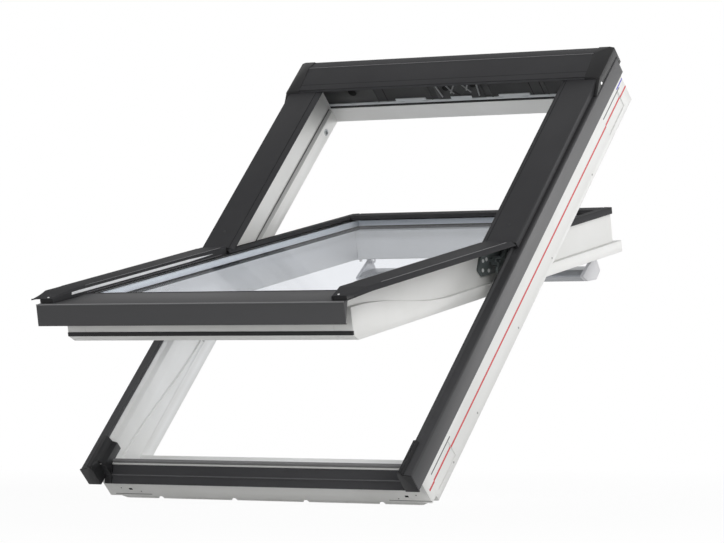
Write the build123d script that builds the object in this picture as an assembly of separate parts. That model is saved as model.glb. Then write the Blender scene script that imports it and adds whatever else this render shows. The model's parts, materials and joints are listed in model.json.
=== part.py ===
from build123d import *
import os
from math import cos, radians, sin, sqrt

# Centre-pivot roof window: a white frame under aluminium cladding, and a sash that turns at mid height.
# Lengths are in millimetres, angles in degrees. The window is drawn flat and shut, with x across, y up
# the slope and z outwards: x = 0 in the middle, y = 0 at the lower end of the side cladding, z = 0 on
# its outer face. An inset is measured from the outer side of the left cladding. The sash is then swung
# open, and the whole window is laid at the pitch of the roof.

# Setting of the window
roof_pitch = 46
sash_opening = 35.6
fit_gap = 0.3
seal_gap = 1.0
head_facets = 12
cut_overrun = 5

# Frame body
frame_width = 780
frame_length = 1160
frame_depth = 120
body_radius = 2.5
side_stand_off = 9
foot_set_back = 24
stile_width = 31
stile_shoulder = 19
shoulder_bevel = 2.5
shoulder_drop = 9
shoulder_fall = 4
stop_step = 6
stop_height = 32
stop_chamfer = 8
stop_rise = 8
stop_rise_width = 4
s_curve_foot = 76
s_curve_length = 364
top_rail_width = 32
top_rail_recess = 6
sill_width = 98
sill_height = 30
foot_face_drop = 3
lip_set_back = 8
lip_depth = 15
nosing_width = 9
nosing_rise = 3
sill_seal_width = 6
sill_seal_height = 7.5
notch_width = 18
notch_place_shares = (-0.341, -0.113, 0.105, 0.331)
lip_chamfer_run = 30
lip_chamfer_length = 12
bracket_end_distance = 80
bracket_seat_length = 90
bracket_seat_height = 40
bracket_seat_rise = 15
bracket_seat_depth = 1.5

# Cladding of the frame
sheet = 1.2
cladding_depth = 41
cladding_flat = 20
cladding_rib_width = 8
cladding_rib_slope = 2
cladding_rib_height = 5
cladding_radius = 4
upper_cover_inset = 8
upper_cover_height = 18
upper_cover_width = 70
upper_cover_bevel_width = 13
upper_cover_bevel_drop = 4.5
upper_cover_edge = 3
upper_cover_leg_inset = 13
cover_gap = 4
cover_sheet = 1.5
plug_radius = 4
plug_height = 0.6
plug_end_distance = 50
bottom_cover_foot_y = 10
bottom_cover_foot_depth = 54
bottom_cover_run = 31
bottom_cover_rise = 23
bottom_cover_ridge = 3
bottom_cover_ridge_width = 9
corner_cap_width = 45
corner_cap_length = 84
corner_cap_wall = 2.5
corner_cap_front_drop = 12

# Hood at the top
hood_reach = 87
hood_run = 68
hood_rise = 12
hood_front_step = 5
hood_back_run = 27
hood_back_drop = 8
hood_back_depth = 42
hood_lip = 9
hood_end_inset = 35
hood_cap_proud = 1
hood_cap_skirt_length = 37
hood_cap_skirt_gap = 0.5
hood_screw_radius = 3.5
hood_screw_height = 1.6
hood_cap_edge = 2

# Fittings under the hood
seal_height = 6
clip_height = 6
clip_depth = 5
clip_notch_width = 14
clip_notch_depth = 2.5
clip_notch_pitch = 62
panel_depth = 3
panel_boss_radius = 11
panel_boss_height = 1.5
panel_boss_inset = 75
panel_rib_width = 3
panel_rib_place_shares = (-0.62, -0.22, 0.22, 0.62)
striker_width = 118
striker_plate = 1.5
striker_rib_width = 5
striker_rib_height = 1.5
striker_disc_radius = 17
striker_keeper_width = 46
striker_keeper_height = 9
striker_keeper_depth = 2
bush_radius = 8
bush_bore_radius = 4.8
bush_proud = 0.5
vent_angle = 3.8

# Pivot hinge
pivot_up = 594
pivot_out = 22
track_radius = 45
tongue_width = 7
track_clearance = 0.5
track_rib_width = 5
track_from_angle = -65
track_to_angle = 75
tongue_from_angle = -30
tongue_to_angle = 80
guide_plate = 6
guide_rib_height = 10
guide_end = 4
guide_height = 50
guide_top_depth = 4
tongue_end_gap = 1
hinge_leaf = 7
hinge_leaf_length = 64
hinge_leaf_rise = 17
hinge_leaf_depth = 4
hinge_screw_radius = 4
hinge_screw_height = 1.4
hinge_screw_places_shares = ((0.14, 0.3), (0.2, 0.75), (0.5, 0.2), (0.42, 0.78))
guide_screw_margin = 8

# Sash body
swing_gap = 11
flange_width = 12
flange_height = 24
flange_rise = 41
sash_stile_width = 31
sash_room_gap = 34
sash_upstand = 2
upstand_width = 6
sash_head_gap = 20
flange_head_gap = 3
sash_top_rail_width = 54
sash_foot_gap = 13
sash_bottom_rail_width = 82
foot_upstand_width = 36
sash_foot_chamfer_run = 18
sash_foot_chamfer_rise = 12
seal_slit_depth = 3
seal_slit_height = 8
bottom_seal_proud = 1.5

# Glazing
glass_proud = 2.4
pane = 4
pane_gap = 12
pane_edge_gap = 1
edge_seal_width = 8
spacer_width = 10
glazing_bed = 5
glazing_bed_width = 22
glazing_seal = 0.8
glazing_seal_width = 8

# Cladding of the sash
front_cover_y = 2.3
front_cover_gap = 1.2
front_cover_top_depth = 0.2
front_cover_face = 43
front_cover_run = 106
front_cover_rise = 4.2
front_cover_lip = 5
front_cover_end = 14
wing_inset = 3
wing_foot = 14
wing_tail_gap = 10
wing_edge_height = 11
wing_ridge_run = 12
wing_ridge_rise = 8
wing_flat = 59
wing_flat_rise = 1
wing_bevel_run = 3
wing_bevel_drop = 4
wing_nose_length = 45
wing_nose_inset = 9
wing_nose_width = 51
wing_nose_height = 9.8
wing_nose_edge_drop = 1.8
trim_inset = 64
trim_height = 12
trim_width = 18
trim_slope = 0.5
trim_bevel_run = 3
trim_leg = 14
top_trim_width = 45

# Control bar, ventilation flap and lock
bar_inset = 105
bar_depth = 27
bar_width = 80
bar_drop = 27
bar_nose_share = 0.4
bar_belly_share = 0.9
bar_arm_width = 8
bar_wall = 2
bar_pin_radius = 3
bar_pin_clearance = 0.15
bar_axis_drop = 7
bar_axis_head_gap = 20
bar_lug_width = 6
bar_lug_radius = 6.5
bar_lug_gap = 0.3
flap_inset = 140
flap_gap = 9
flap_thickness = 2.5
flap_bead_radius = 2
flap_top_depth = 4
lock_width = 36
lock_height = 12
lock_length = 28
lock_proud = 14
lock_rise = 5
bolt_radius = 4
bolt_length = 38
bolt_travel = 10
bolt_side_gap = 2
bolt_rise = 14
bolt_tab_width = 6
bolt_tab_drop = 23
bolt_plate = 3
bolt_plate_length = 38
bolt_plate_width = 28
bolt_head_gap = 23

# Places worked out from the sizes above
half_width = frame_width / 2
room_face = -frame_depth
stile_top = -sheet
stile_inner = side_stand_off + stile_width
stop_inner = stile_inner + stop_step
stop_top = room_face + stop_height
step_top = stop_top + stop_chamfer
frame_foot = foot_set_back
frame_head = frame_foot + frame_length
top_rail_face = frame_head - top_rail_width
recess_face = top_rail_face + top_rail_recess
sill_inner = frame_foot + sill_width
sill_top = room_face + sill_height
cover_foot = (bottom_cover_foot_y, -bottom_cover_foot_depth)
cover_head = (bottom_cover_foot_y + bottom_cover_run, bottom_cover_rise - bottom_cover_foot_depth)
cover_slope = bottom_cover_rise / bottom_cover_run
cover_back_z = cover_head[1] - sheet * sqrt(1 + cover_slope * cover_slope)
nosing_front = cover_head[0] + sheet
nosing_top = cover_back_z + nosing_rise
foot_face_top = cover_foot[1] - foot_face_drop
nosing_back = cover_head[0] + nosing_width
pivot_y = frame_foot + pivot_up
pivot_z = pivot_out
flange_side = stop_inner + swing_gap
sash_side = flange_side + flange_width
sash_inner = sash_side + sash_stile_width
sash_room = room_face + sash_room_gap
sash_top = sash_upstand
flange_top = sash_room + flange_height
sash_head = top_rail_face - sash_head_gap
flange_head = top_rail_face - flange_head_gap
sash_head_inner = sash_head - sash_top_rail_width
sash_foot = nosing_back + sash_foot_gap
sash_foot_inner = sash_foot + sash_bottom_rail_width
seal_slit_low = sash_room + sash_foot_chamfer_rise
seal_slit_high = seal_slit_low + seal_slit_height
glass_top = glass_proud
glass_bottom = glass_top - pane - pane_gap - pane
rebate_floor = glass_bottom - glazing_bed
pane_inset = sash_side + upstand_width + pane_edge_gap
pane_foot = sash_foot + foot_upstand_width + pane_edge_gap
pane_head = sash_head - upstand_width - pane_edge_gap
front_cover_back = front_cover_y + front_cover_run
wing_head = pivot_y - wing_tail_gap
upper_cover_foot = wing_head + cover_gap
cap_side = cladding_flat + cladding_rib_width + fit_gap
front_cover_inset = cap_side + corner_cap_wall + front_cover_gap
hood_foot_y = frame_head - hood_reach
hood_head_y = hood_foot_y + hood_run
hood_top = upper_cover_height + hood_rise
track_inner = track_radius - tongue_width / 2
track_outer = track_radius + tongue_width / 2
hinge_leaf_height = -hinge_leaf_depth - hinge_leaf_rise - flange_top
guide_length = (track_outer + track_clearance + track_rib_width + guide_end) * 2
bar_axis_y = sash_head - bar_axis_head_gap
bar_axis_z = sash_room - bar_axis_drop
lock_low = flange_top + lock_rise
flap_height = -flap_top_depth - flap_gap - lock_low - lock_height
bolt_z = sash_room + bolt_rise


def left(inset):
    """x of an inset from the left side."""
    return inset - half_width


def wire_of(points, radii):
    """Closed outline through the points, with a radius at each corner."""
    return FilletPolyline(*points, radius=radii, close=True).wire()


def prism_x(outline, x_from, x_to, radii=0):
    """Solid of a (y, z) outline run across the window."""
    wire = wire_of([(x_from, y, z) for y, z in outline], radii)
    return Solid.extrude(Face(wire), Vector(x_to - x_from, 0, 0))


def prism_y(outline, y_from, y_to, radii=0):
    """Solid of an (inset, z) outline run up the slope on the left side."""
    wire = wire_of([(left(inset), y_from, z) for inset, z in outline], radii)
    return Solid.extrude(Face(wire), Vector(0, y_to - y_from, 0))


def prism_z(outline, z_from, z_to, radii=0):
    """Solid of an (x, y) outline raised outwards."""
    wire = wire_of([(x, y, z_from) for x, y in outline], radii)
    return Solid.extrude(Face(wire), Vector(0, 0, z_to - z_from))


def block(x_from, x_to, y_from, y_to, z_from, z_to):
    """Plain rectangular solid between two corners."""
    return prism_z([(x_from, y_from), (x_to, y_from), (x_to, y_to), (x_from, y_to)], z_from, z_to)


def rod_x(radius, x_from, x_to, y, z):
    """Round bar that runs across the window."""
    plane = Plane(origin=(x_from, y, z), x_dir=(0, 1, 0), z_dir=(1, 0, 0))
    return Solid.make_cylinder(radius, x_to - x_from, plane)


def rod_y(radius, y_from, y_to, x, z):
    """Round bar that runs up the slope."""
    plane = Plane(origin=(x, y_from, z), x_dir=(1, 0, 0), z_dir=(0, 1, 0))
    return Solid.make_cylinder(radius, y_to - y_from, plane)


def head_on(plane, radius, height):
    """Low head of a screw or plug that stands on a plane, with few facets."""
    return extrude(plane * RegularPolygon(radius, head_facets), height)


def ring(x_side, y_from, y_to, width, z_from, z_to):
    """Flat four-sided ring with its outer edge at the given places."""
    outer = block(-x_side, x_side, y_from, y_to, z_from, z_to)
    inner_x = x_side - width
    inner = block(-inner_x, inner_x, y_from + width, y_to - width, z_from - cut_overrun, z_to + cut_overrun)
    return outer - inner


def folded(path, thickness):
    """Outline of a folded sheet: the path is one face, the other lies to its right."""
    shifted = []
    for index, point in enumerate(path):
        here = Vector(*point)
        before = here - Vector(*path[index - 1]) if index else None
        after = Vector(*path[index + 1]) - here if index + 1 < len(path) else None
        first = (before or after).normalized()
        second = (after or before).normalized()
        normal = (Vector(first.Y, -first.X) + Vector(second.Y, -second.X)).normalized()
        reach = thickness / normal.dot(Vector(first.Y, -first.X))
        shifted.append((here.X + normal.X * reach, here.Y + normal.Y * reach))
    return list(path) + shifted[::-1]


def sector_x(inner_radius, outer_radius, from_angle, to_angle, x_from, x_to):
    """Part of a ring about the pivot; angles run from the room side towards the top."""
    plane = Plane(origin=(x_from, pivot_y, pivot_z), x_dir=(0, 0, -1), z_dir=(1, 0, 0))
    outer = Edge.make_circle(outer_radius, plane, from_angle, to_angle)
    inner = Edge.make_circle(inner_radius, plane, from_angle, to_angle)
    start = Edge.make_line(inner @ 0, outer @ 0)
    end = Edge.make_line(inner @ 1, outer @ 1)
    return Solid.extrude(Face(Wire([start, outer, end, inner])), Vector(x_to - x_from, 0, 0))


def s_plate(y_from, y_to, low, high_foot, high_head, x_from, x_to):
    """Upright plate whose outer edge falls in an S from its foot height to its head height."""
    curve_head = s_curve_foot + s_curve_length
    foot = Vector(x_from, s_curve_foot, high_foot)
    head = Vector(x_from, curve_head, high_head)
    edges = [Edge.make_spline([foot, head], tangents=[Vector(0, 1, 0), Vector(0, 1, 0)])]
    corners = [head, Vector(x_from, y_to, high_head), Vector(x_from, y_to, low)]
    corners += [Vector(x_from, y_from, low), Vector(x_from, y_from, high_foot), foot]
    for index in range(len(corners) - 1):
        if (corners[index + 1] - corners[index]).length:
            edges.append(Edge.make_line(corners[index], corners[index + 1]))
    return Solid.extrude(Face(Wire(edges)), Vector(x_to - x_from, 0, 0))


def on_right(shape):
    """The right-hand twin of a left-hand piece."""
    return mirror(shape, about=Plane.YZ)


def both_sides(shape):
    """A left-hand piece and its twin, as separate solids."""
    return Compound(children=[*shape.solids(), *on_right(shape).solids()])


# Frame body

def bracket_places():
    """Middles of the roof brackets up the slope."""
    return frame_foot + bracket_end_distance, frame_head - bracket_end_distance


def bracket_seats():
    """Shallow flat seats in the side of the left stile, where the roof brackets are screwed on."""
    side = left(side_stand_off)
    half = bracket_seat_length / 2
    low = room_face + bracket_seat_rise
    floor = side + bracket_seat_depth
    seats = []
    for y in bracket_places():
        seats.append(block(side - cut_overrun, floor, y - half, y + half, low, low + bracket_seat_height))
    return seats


def bush_place():
    """Middle of the bush: where the barrel bolt comes to lie in the airing position."""
    across = bolt_y() - pivot_y
    down = pivot_z - bolt_z
    turn = radians(vent_angle)
    return pivot_y + across * cos(turn) - down * sin(turn), pivot_z - across * sin(turn) - down * cos(turn)


def bush_body(length):
    """Outside of the bush, from the inner face of the stile towards the sash."""
    bush_y, bush_z = bush_place()
    seat = Plane(origin=(left(stile_inner), bush_y, bush_z), x_dir=(0, 1, 0), z_dir=(1, 0, 0))
    return head_on(seat, bush_radius, length)


def frame_stile():
    shoulder = side_stand_off + stile_shoulder
    outline = [
        (side_stand_off, room_face), (side_stand_off, stile_top), (shoulder, stile_top),
        (shoulder + shoulder_bevel, stile_top - shoulder_drop),
        (stile_inner, stile_top - shoulder_drop - shoulder_fall),
        (stile_inner, step_top), (stop_inner, stop_top), (stop_inner, room_face),
    ]
    radii = [body_radius, 0, 0, body_radius / 2, body_radius, 0, body_radius, body_radius]
    body = prism_y(outline, frame_foot, frame_head, radii)
    stop_to = left(stile_inner + stop_rise_width)
    rise_head = s_curve_foot + s_curve_length
    rise_top = cover_foot[1] + stop_rise
    body += s_plate(frame_foot, rise_head, stop_top, rise_top, step_top, left(stile_inner), stop_to)
    foot_cut_y = frame_foot + lip_set_back
    foot_cut_z = room_face - cut_overrun
    foot_cut = block(left(0), 0, frame_foot - cut_overrun, foot_cut_y, foot_cut_z, room_face + lip_depth)
    lip_top = room_face + lip_depth
    chamfer = [(side_stand_off, lip_top), (side_stand_off + lip_chamfer_run, room_face)]
    chamfer.append((side_stand_off, room_face))
    chamfer_cut = prism_y(chamfer, frame_foot, foot_cut_y + lip_chamfer_length)
    return body - foot_cut - chamfer_cut - bracket_seats()


def left_frame_stile():
    return frame_stile() - bush_body(stop_step + cut_overrun)


def frame_top_rail():
    outline = [
        (top_rail_face, room_face), (frame_head, room_face), (frame_head, stile_top),
        (recess_face, stile_top), (recess_face, step_top), (top_rail_face, step_top),
    ]
    radii = [body_radius, 0, 0, 0, 0, 0]
    rail = prism_x(outline, left(stile_inner), -left(stile_inner), radii)
    stile = frame_stile()
    return rail - stile - on_right(stile)


def frame_bottom_rail():
    outline = [
        (frame_foot, foot_face_top), (cover_head[0], cover_back_z), (nosing_front, cover_back_z),
        (nosing_front, nosing_top), (nosing_back, nosing_top),
        (nosing_back, sill_top), (sill_inner, sill_top), (sill_inner, room_face),
        (frame_foot + lip_set_back, room_face),
        (frame_foot + lip_set_back, room_face + lip_depth), (frame_foot, room_face + lip_depth),
    ]
    radii = [0, 0, 0, 0, 0, body_radius, body_radius, body_radius, 0, 0, 0]
    rail = prism_x(outline, left(stile_inner), -left(stile_inner), radii)
    stile = frame_stile()
    rail = rail - stile - on_right(stile)
    lip_y = frame_foot + lip_set_back
    for share in notch_place_shares:
        middle = share * frame_width
        notch = [(middle - notch_width / 2, room_face - cut_overrun), (middle, room_face + lip_depth)]
        notch.append((middle + notch_width / 2, room_face - cut_overrun))
        wire = wire_of([(x, lip_y, z) for x, z in notch], 0)
        rail -= Solid.extrude(Face(wire), Vector(0, lip_depth / 2, 0))
    return rail


def stile_seal():
    """Seal strip that lies on the bevel of the stop in the upper half."""
    bevel = Vector(stop_step, step_top - stop_top)
    offset = bevel.normalized() * sheet
    outline = [
        (stile_inner, step_top), (stop_inner, stop_top),
        (stop_inner + offset.X, stop_top + offset.Y), (stile_inner + offset.X, step_top + offset.Y),
    ]
    return prism_y(outline, s_curve_foot + s_curve_length, top_rail_face)


def left_stile_seal():
    """Left seal strip, notched where the bush comes through."""
    return stile_seal() - bush_body(stop_step + cut_overrun)


def top_rail_seal():
    side = left(stop_inner)
    depth = top_rail_recess - seal_gap
    return block(side, -side, recess_face - depth, recess_face, step_top, step_top + seal_height)


def sill_seal():
    """Seal bead on the nosing, behind the bottom cover."""
    side = left(stop_inner)
    front = nosing_back - sill_seal_width
    return block(side, -side, front, nosing_back, nosing_top, nosing_top + sill_seal_height)


# Cladding of the frame

def side_cladding():
    rib_out = cladding_flat + cladding_rib_slope
    rib_in = cladding_flat + cladding_rib_width - cladding_rib_slope
    path = [
        (side_stand_off, -cladding_depth), (0, -cladding_depth), (0, 0), (cladding_flat, 0),
        (rib_out, cladding_rib_height), (rib_in, cladding_rib_height),
        (cladding_flat + cladding_rib_width, 0),
    ]
    outline = folded(path, sheet)
    radii = [0] * len(outline)
    radii[2] = cladding_radius
    radii[len(outline) - 3] = cladding_radius - sheet
    return prism_y(outline, 0, frame_head, radii)


def upper_cover():
    flat_end = upper_cover_inset + upper_cover_width
    path = [
        (upper_cover_inset, upper_cover_edge), (upper_cover_inset, upper_cover_height),
        (flat_end, upper_cover_height),
        (flat_end + upper_cover_bevel_width, upper_cover_height - upper_cover_bevel_drop),
    ]
    outline = folded(path, cover_sheet)
    radii = [0] * len(outline)
    radii[1] = cover_sheet * 2
    radii[len(outline) - 2] = cover_sheet
    cover = prism_y(outline, upper_cover_foot, top_rail_face, radii)
    leg_from = upper_cover_leg_inset
    leg = [
        (leg_from, 0), (leg_from + cover_sheet, 0),
        (leg_from + cover_sheet, upper_cover_height - cover_sheet),
        (leg_from, upper_cover_height - cover_sheet),
    ]
    return cover + prism_y(leg, upper_cover_foot, top_rail_face)


def cover_plug():
    x = left(upper_cover_inset + upper_cover_width / 2)
    y = upper_cover_foot + plug_end_distance
    return head_on(Plane(origin=(x, y, upper_cover_height)), plug_radius, plug_height)


def bottom_cover_path():
    """Sloping face of the bottom cover, with the ridge along its middle."""
    length = sqrt(bottom_cover_run ** 2 + bottom_cover_rise ** 2)
    along = Vector(bottom_cover_run, bottom_cover_rise) / length
    out = Vector(-along.Y, along.X)
    foot = Vector(*cover_foot)
    path = []
    ridge_from = (length - bottom_cover_ridge_width) / 2
    places = ((0, 0), (ridge_from, 0), (ridge_from + bottom_cover_ridge, bottom_cover_ridge))
    places += ((ridge_from + bottom_cover_ridge_width, 0), (length, 0))
    for run, rise in places:
        point = foot + along * run + out * rise
        path.append((point.X, point.Y))
    return path


def bottom_cover():
    outline = folded(bottom_cover_path(), sheet)
    side = left(corner_cap_width)
    return prism_x(outline, side, -side)


def corner_cap_skin():
    """Thin walls of a corner cap: round the end of the cladding, then over the stile to the nosing."""
    wall = corner_cap_wall
    rib_out = cladding_flat + cladding_rib_slope
    rib_in = cladding_flat + cladding_rib_width - cladding_rib_slope
    rib_top = cladding_rib_height + fit_gap
    over_rib = [(cap_side, 0), (rib_in + fit_gap, rib_top), (rib_out, rib_top), (cladding_flat, fit_gap)]
    face = stile_inner + fit_gap
    shoulder = side_stand_off + stile_shoulder + shoulder_bevel + fit_gap
    shoulder_low = stile_top - shoulder_drop + fit_gap
    over_stile = [(face, nosing_top), (face, shoulder_low - shoulder_fall), (shoulder, shoulder_low)]
    skin = prism_y(folded([(cap_side, -cladding_depth - wall)] + over_rib, wall), 0, frame_foot)
    skin += prism_y(folded(over_stile + over_rib, wall), frame_foot, corner_cap_length)
    end = [
        (0, -cladding_depth - wall), (0, 0), (cladding_flat, wall), (rib_out, rib_top + wall),
        (rib_in, rib_top + wall), (cap_side + wall, 0), (cap_side + wall, -cladding_depth - wall),
    ]
    return skin + prism_y(end, -wall, 0)


def corner_cap():
    """Moulded cap that closes the end of a side cladding, hugs its rib and holds the bottom cover."""
    wall = corner_cap_wall
    front = block(left(cap_side), left(corner_cap_width), frame_foot - wall, frame_foot, cover_foot[1],
                  -corner_cap_front_drop)
    foot, head = Vector(*cover_foot), Vector(*cover_head)
    lift = Vector(-bottom_cover_rise, bottom_cover_run).normalized() * wall
    sink = lift.normalized() * sheet
    saddle = [(point.X, point.Y) for point in (foot - sink, head - sink, head + lift, foot + lift)]
    pocket = block(left(0), left(stile_inner), frame_foot, corner_cap_length, room_face, 0)
    saddle_body = prism_x(saddle, left(cap_side), left(corner_cap_width)) - pocket
    slope_z = cover_foot[1] + (frame_foot - cover_foot[0]) * cover_slope
    cheek = [(frame_foot, slope_z), cover_head, (cover_head[0], nosing_top), (frame_foot, nosing_top)]
    face = stile_inner + fit_gap
    return corner_cap_skin() + front + saddle_body + prism_x(cheek, left(face), left(face + wall))


# Hood and what lies under it

def hood_face():
    """Outer face of the hood from its lower lip to its back edge."""
    front_top = (hood_foot_y + hood_front_step / 2, upper_cover_height + hood_front_step)
    back_y = hood_head_y + hood_back_run
    back_top = hood_top - hood_back_drop
    return [(hood_foot_y, upper_cover_height), front_top, (hood_head_y, hood_top), (back_y, back_top),
            (back_y, back_top - hood_back_depth)]


def hood():
    face = hood_face()
    back_y, back_low = face[-1]
    path = [(hood_foot_y + hood_lip, upper_cover_height)] + face + [(frame_head, back_low)]
    return prism_x(folded(path, sheet), left(hood_end_inset), -left(hood_end_inset))


def hood_cap():
    """Moulded end of the hood with a skirt down the side of the upper cover."""
    face = hood_face()
    back_y, back_low = face[-1]
    cap_foot = hood_foot_y - hood_cap_proud
    cap_back = back_y + hood_cap_proud
    body = [(cap_foot, upper_cover_height), (face[1][0] - hood_cap_proud, face[1][1])]
    body += [(hood_head_y, hood_top + hood_cap_proud), (cap_back, face[3][1] + hood_cap_proud)]
    body.append((cap_back, upper_cover_height))
    cap = prism_x(body, left(0), left(hood_end_inset))
    bevel = [(0, upper_cover_height), (0, upper_cover_height + hood_cap_edge)]
    bevel += [(hood_end_inset, hood_top + hood_cap_proud), (hood_end_inset, upper_cover_height)]
    cap = cap & prism_y(bevel, cap_foot, cap_back)
    skirt_to = left(upper_cover_inset - hood_cap_skirt_gap)
    skirt = [(hood_foot_y - hood_cap_skirt_length, sheet), (cap_foot, upper_cover_height)]
    skirt += [(cap_back, upper_cover_height), (cap_back, sheet)]
    cap += prism_x(skirt, left(0), skirt_to)
    cap -= hood_screw_hole()
    return cap + block(left(0), left(hood_end_inset), frame_head, cap_back, back_low, upper_cover_height)


def hood_screw_seat():
    """Floor of the screw hole in the outer side of the skirt."""
    place = (left(hood_screw_height), hood_foot_y, upper_cover_height / 3)
    return Plane(origin=place, x_dir=(0, 1, 0), z_dir=(-1, 0, 0))


def hood_screw_hole():
    return head_on(hood_screw_seat(), hood_screw_radius + fit_gap, hood_screw_height + cut_overrun)


def hood_screw():
    """Pan-head screw, sunk in its hole."""
    return head_on(hood_screw_seat(), hood_screw_radius, hood_screw_height)


def clip_strip():
    side = left(stop_inner)
    low = step_top + seal_height
    strip = block(side, -side, recess_face - clip_depth, recess_face, low, low + clip_height)
    count = int(-side * 2 / clip_notch_pitch) - 1
    for index in range(count):
        middle = (index - (count - 1) / 2) * clip_notch_pitch
        front = recess_face - clip_depth
        strip -= block(middle - clip_notch_width / 2, middle + clip_notch_width / 2, front - cut_overrun,
                       front + clip_depth - panel_depth, low + clip_height - clip_notch_depth,
                       low + clip_height + cut_overrun)
    return strip


def panel_low():
    return step_top + seal_height + clip_height


def vent_filter_panel():
    side = left(stop_inner)
    low = panel_low()
    high = -clip_height
    face = recess_face - panel_depth
    panel = block(side, -side, face, recess_face, low, high)
    middle_z = (low + high) / 2
    for direction in (-1, 1):
        x = direction * (-side - panel_boss_inset)
        seat = Plane(origin=(x, face, middle_z), x_dir=(1, 0, 0), z_dir=(0, -1, 0))
        panel += head_on(seat, panel_boss_radius, panel_boss_height)
    front = face - panel_boss_height
    for share in panel_rib_place_shares:
        x = -side * share
        panel += block(x - panel_rib_width / 2, x + panel_rib_width / 2, front, face, low, high)
    return panel


def striker():
    """Catch plate with crossed ribs, a half disc and the keeper edge below."""
    low = panel_low()
    high = -clip_height
    back = recess_face - panel_depth
    face = back - striker_plate
    half = striker_width / 2
    plate = block(-half, half, face, back, low, high)
    rib_front = face - striker_rib_height
    for direction in (-1, 1):
        rib = [
            (direction * half, high), (direction * (half - striker_rib_width), high),
            (0, low + striker_keeper_height), (direction * striker_rib_width, low + striker_keeper_height),
        ]
        wire = wire_of([(x, face, z) for x, z in rib], 0)
        plate += Solid.extrude(Face(wire), Vector(0, -striker_rib_height, 0))
    disc = rod_y(striker_disc_radius, rib_front, face, 0, high)
    disc -= block(-half, half, rib_front - cut_overrun, back, high, high + striker_disc_radius * 2)
    plate += disc
    keeper_half = striker_keeper_width / 2
    keeper_front = face - striker_keeper_depth
    return plate + block(-keeper_half, keeper_half, keeper_front, face, low, low + striker_keeper_height)


def bolt_bush():
    bush_y, bush_z = bush_place()
    bore_from = left(stile_inner) - cut_overrun
    bore = rod_x(bush_bore_radius, bore_from, left(stop_inner) + cut_overrun, bush_y, bush_z)
    return bush_body(stop_step + bush_proud) - bore


# Pivot hinge: a curved tongue on the sash runs in a curved track on the frame

def hinge_guide():
    high = -guide_top_depth
    outline = [
        (pivot_y - guide_length / 2, high - guide_height / 2), (pivot_y - guide_length / 2, high),
        (pivot_y + guide_length / 2, high), (pivot_y + guide_length / 2, high - guide_height / 2),
        (pivot_y + guide_length / 4, high - guide_height), (pivot_y - guide_length / 4, high - guide_height),
    ]
    face = stile_inner + guide_plate
    radii = [0, guide_plate, guide_plate, 0, 0, 0]
    guide = prism_x(outline, left(stile_inner), left(face), radii)
    inner_rib = track_inner - track_clearance
    outer_rib = track_outer + track_clearance
    rib_top = left(face + guide_rib_height)
    for radius in (inner_rib - track_rib_width, outer_rib):
        rib_radius = radius + track_rib_width
        guide += sector_x(radius, rib_radius, track_from_angle, track_to_angle, left(stile_inner), rib_top)
    return guide


def guide_screw_places():
    high = -guide_top_depth
    low = high - guide_height + guide_screw_margin
    side = guide_length / 2 - guide_screw_margin
    shoulder = high - guide_screw_margin
    return [(pivot_y - side, shoulder), (pivot_y + side, shoulder), (pivot_y, low)]


def hinge_guide_screws():
    face = left(stile_inner + guide_plate)
    heads = []
    for y, z in guide_screw_places():
        seat = Plane(origin=(face, y, z), x_dir=(0, 1, 0), z_dir=(1, 0, 0))
        heads += head_on(seat, hinge_screw_radius, hinge_screw_height).solids()
    return Compound(children=heads)


def leaf_corner():
    """Lower corner of the hinge leaf on the sash: (y, z)."""
    return pivot_y - hinge_leaf_length, -hinge_leaf_depth - hinge_leaf_height


def hinge_tongue():
    """Steel leaf on the side of the sash with the curved tongue that runs in the track."""
    leaf_y, leaf_z = leaf_corner()
    leaf_high = -hinge_leaf_depth
    leaf_end = pivot_y + track_outer
    outline = [
        (leaf_y, leaf_z + hinge_leaf_height / 3), (leaf_y + hinge_leaf_height / 3, leaf_high),
        (leaf_end, leaf_high), (leaf_end, leaf_z + hinge_leaf_height / 2),
        (pivot_y, leaf_z), (leaf_y + hinge_leaf_height / 3, leaf_z),
    ]
    seat = left(sash_side)
    leaf = prism_x(outline, seat - hinge_leaf, seat, hinge_leaf_height / 8)
    tip = left(stile_inner + guide_plate + tongue_end_gap)
    root = seat - hinge_leaf
    return leaf + sector_x(track_inner, track_outer, tongue_from_angle, tongue_to_angle, tip, root)


def hinge_tongue_screws():
    leaf_y, leaf_z = leaf_corner()
    heads = []
    for along_share, up_share in hinge_screw_places_shares:
        y = leaf_y + hinge_leaf_length * along_share + hinge_screw_radius
        z = leaf_z + hinge_leaf_height * up_share
        seat = Plane(origin=(left(sash_side - hinge_leaf), y, z), x_dir=(0, 1, 0), z_dir=(-1, 0, 0))
        heads += head_on(seat, hinge_screw_radius, hinge_screw_height).solids()
    return Compound(children=heads)


# Sash body

def bolt_y():
    """Height of the barrel bolt up the slope, in the corner of the sash."""
    return sash_head - bolt_head_gap


def foot_cuts():
    """Chamfer, seal slit and slope under the front cover, cut across the foot of the sash."""
    side = half_width
    chamfer_y = sash_foot + sash_foot_chamfer_run
    chamfer = [
        (sash_foot - cut_overrun, seal_slit_low), (sash_foot, seal_slit_low), (chamfer_y, sash_room),
        (chamfer_y, sash_room - cut_overrun), (sash_foot - cut_overrun, sash_room - cut_overrun),
    ]
    slit_back = sash_foot + seal_slit_depth
    slit = block(-side, side, sash_foot - cut_overrun, slit_back, seal_slit_low, seal_slit_high)
    (back_y, back_z), (foot_y, foot_z) = folded(front_cover_top(), sheet)[2:]
    above = back_z + sash_room_gap
    slope = [(foot_y, foot_z), (back_y, back_z), (back_y, above), (foot_y, above)]
    return [prism_x(chamfer, -side, side), slit, prism_x(slope, -side, side)]


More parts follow.
